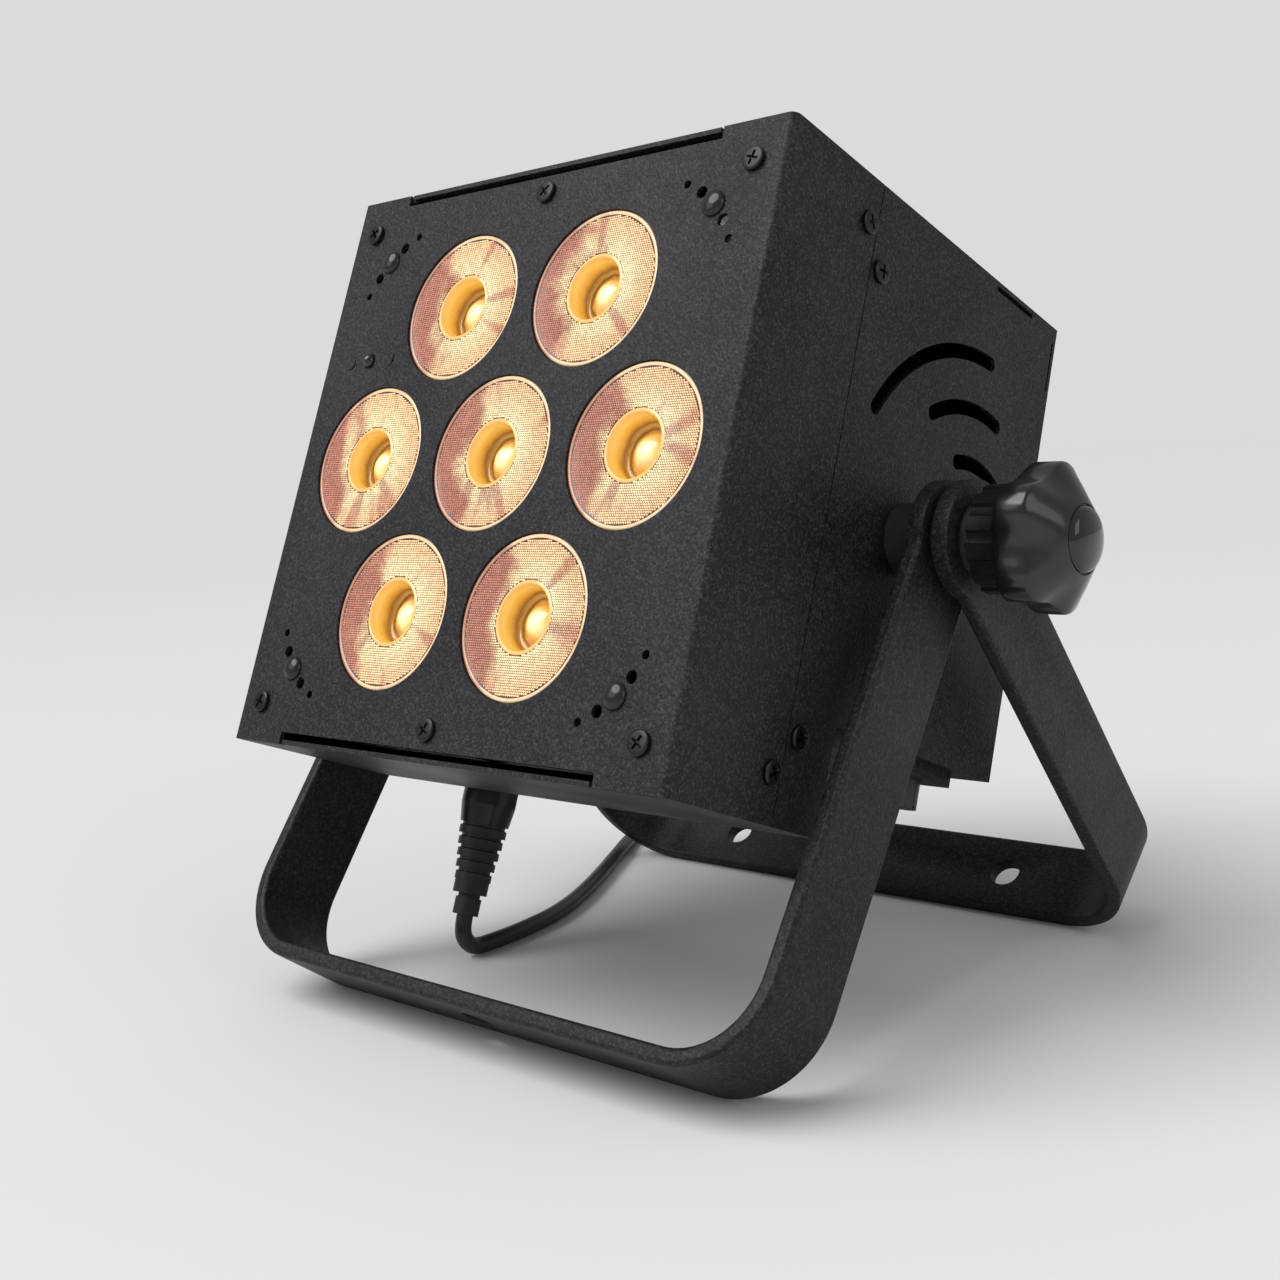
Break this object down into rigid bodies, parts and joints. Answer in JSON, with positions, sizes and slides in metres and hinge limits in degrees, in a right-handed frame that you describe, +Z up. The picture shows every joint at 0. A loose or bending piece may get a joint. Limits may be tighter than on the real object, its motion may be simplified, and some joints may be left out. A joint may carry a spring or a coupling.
{
  "type": "led par light",
  "caption": "Square stage lamp with amber lenses in a black sheet-metal case, on two folding floor yokes clamped by knobs, with a signal lead plugged in below.",
  "frame": {"origin": "on the floor, in the middle of the lamp's width and depth as it stands on its splayed yokes", "axes": "+X along the pivot axis to the lamp's right seen from the front, +Y to the back, +Z up; the case is tilted back 21.5 degrees about X"},
  "size_m": [0.3838, 0.4032, 0.2662],
  "materials": {
    "case_paint": "fine-textured black powder coat",
    "strap_paint": "fine-textured black powder coat on thick strap",
    "black_screws": "black-finished steel, satin",
    "rivet_steel": "gloss black",
    "lens": "clear moulded acrylic lit amber from behind",
    "lens_holder": "black moulded sleeve",
    "board": "solder-masked circuit board",
    "emitter": "silicone dome over the emitter",
    "sink": "extruded aluminium, satin",
    "zinc_steel": "zinc-plated steel",
    "knob": "moulded black nylon, slightly glossy",
    "knob_cap": "glossy black cap",
    "black_plastic": "moulded black plastic",
    "plug_metal": "satin black plug shell",
    "plug_rubber": "soft black boot",
    "cord": "black lead sheath, satin",
    "window": "smoked display window",
    "key_cap": "dark grey keys"
  },
  "bodies": {
    "housing": {"front_cover": "case_paint", "top_panel": "case_paint", "bottom_panel": "case_paint", "side_panel_left": "case_paint", "side_panel_right": "case_paint", "rear_panel": "case_paint", "connector_plate": "case_paint", "mounting_rails": "zinc_steel", "lens_1": "lens", "lens_2": "lens", "lens_3": "lens", "lens_4": "lens", "lens_5": "lens", "lens_6": "lens", "lens_7": "lens", "lens_holders": "lens_holder", "led_board": "board", "led_emitters": "emitter", "heat_sink": "sink", "cover_posts": "zinc_steel", "face_screws": "black_screws", "case_screws": "black_screws", "corner_rivets": "rivet_steel", "ir_receiver": "black_plastic", "fan_frame": "black_plastic", "driver_board": "board", "board_standoffs": "zinc_steel", "power_supply": "black_plastic", "display_board": "board", "display_window": "window", "dmx_in_socket": "black_plastic", "dmx_out_socket": "black_plastic", "power_inlet": "black_plastic", "fuse_holder": "black_plastic", "pivot_inserts": "zinc_steel", "pivot_spacers": "black_plastic", "dmx_plug_shell": "plug_metal", "dmx_plug_boot": "plug_rubber", "dmx_cord": "cord", "dmx_cord_coil": "cord", "far_plug_shell": "plug_metal", "far_plug_boot": "plug_rubber"},
    "front_yoke": {"front_yoke": "strap_paint", "strap_washers": "black_plastic"},
    "rear_yoke": {"rear_yoke": "strap_paint"},
    "washer_left": {"knob_washer_left": "black_plastic"},
    "washer_right": {"knob_washer_right": "black_plastic"},
    "knob_left": {"knob_left": "knob", "knob_cap_left": "knob_cap", "knob_stud_left": "zinc_steel"},
    "knob_right": {"knob_right": "knob", "knob_cap_right": "knob_cap", "knob_stud_right": "zinc_steel"},
    "fan": {"fan_rotor": "black_plastic"},
    "key_menu": {"key_menu": "key_cap"},
    "key_down": {"key_down": "key_cap"},
    "key_up": {"key_up": "key_cap"},
    "key_enter": {"key_enter": "key_cap"},
    "latch": {"dmx_out_latch": "black_plastic"}
  },
  "joints": [
    {"name": "front_yoke_swing", "type": "hinge", "parent": "housing", "child": "front_yoke", "pos_m": [0, -0.00354, 0.14473], "axis": [1, 0, 0], "range_deg": [-180, 0]},
    {"name": "rear_yoke_swing", "type": "hinge", "parent": "housing", "child": "rear_yoke", "pos_m": [0, -0.00354, 0.14473], "axis": [1, 0, 0], "range_deg": [0, 180]},
    {"name": "knob_left_travel", "type": "slide", "parent": "housing", "child": "washer_left", "axis": [-1, 0, 0], "range_m": [0, 0.0051]},
    {"name": "knob_left_turn", "type": "hinge", "parent": "washer_left", "child": "knob_left", "pos_m": [0, -0.00354, 0.14473], "axis": [-1, 0, 0], "range_deg": [0, 1440]},
    {"name": "knob_right_travel", "type": "slide", "parent": "housing", "child": "washer_right", "axis": [1, 0, 0], "range_m": [0, 0.0051]},
    {"name": "knob_right_turn", "type": "hinge", "parent": "washer_right", "child": "knob_right", "pos_m": [0, -0.00354, 0.14473], "axis": [1, 0, 0], "range_deg": [0, 1440]},
    {"name": "fan_spin", "type": "hinge", "parent": "housing", "child": "fan", "pos_m": [0, 0.05917, 0.13476], "axis": [0, 0.9304, -0.3665], "continuous": true},
    {"name": "key_menu_press", "type": "slide", "parent": "housing", "child": "key_menu", "axis": [0, -0.9304, 0.3665], "range_m": [0, 0.0008], "stiffness_N_per_m": 600, "springref_m": -0.0006},
    {"name": "key_down_press", "type": "slide", "parent": "housing", "child": "key_down", "axis": [0, -0.9304, 0.3665], "range_m": [0, 0.0008], "stiffness_N_per_m": 600, "springref_m": -0.0006},
    {"name": "key_up_press", "type": "slide", "parent": "housing", "child": "key_up", "axis": [0, -0.9304, 0.3665], "range_m": [0, 0.0008], "stiffness_N_per_m": 600, "springref_m": -0.0006},
    {"name": "key_enter_press", "type": "slide", "parent": "housing", "child": "key_enter", "axis": [0, -0.9304, 0.3665], "range_m": [0, 0.0008], "stiffness_N_per_m": 600, "springref_m": -0.0006},
    {"name": "latch_press", "type": "slide", "parent": "housing", "child": "latch", "axis": [0, 0.3665, 0.9304], "range_m": [0, 0.001], "stiffness_N_per_m": 600, "springref_m": -0.0006}
  ],
  "couplings": [
    {"joint": "knob_left_travel", "follows": "knob_left_turn", "m_per_rad": 0.00019894},
    {"joint": "knob_right_travel", "follows": "knob_right_turn", "m_per_rad": 0.00019894}
  ]
}
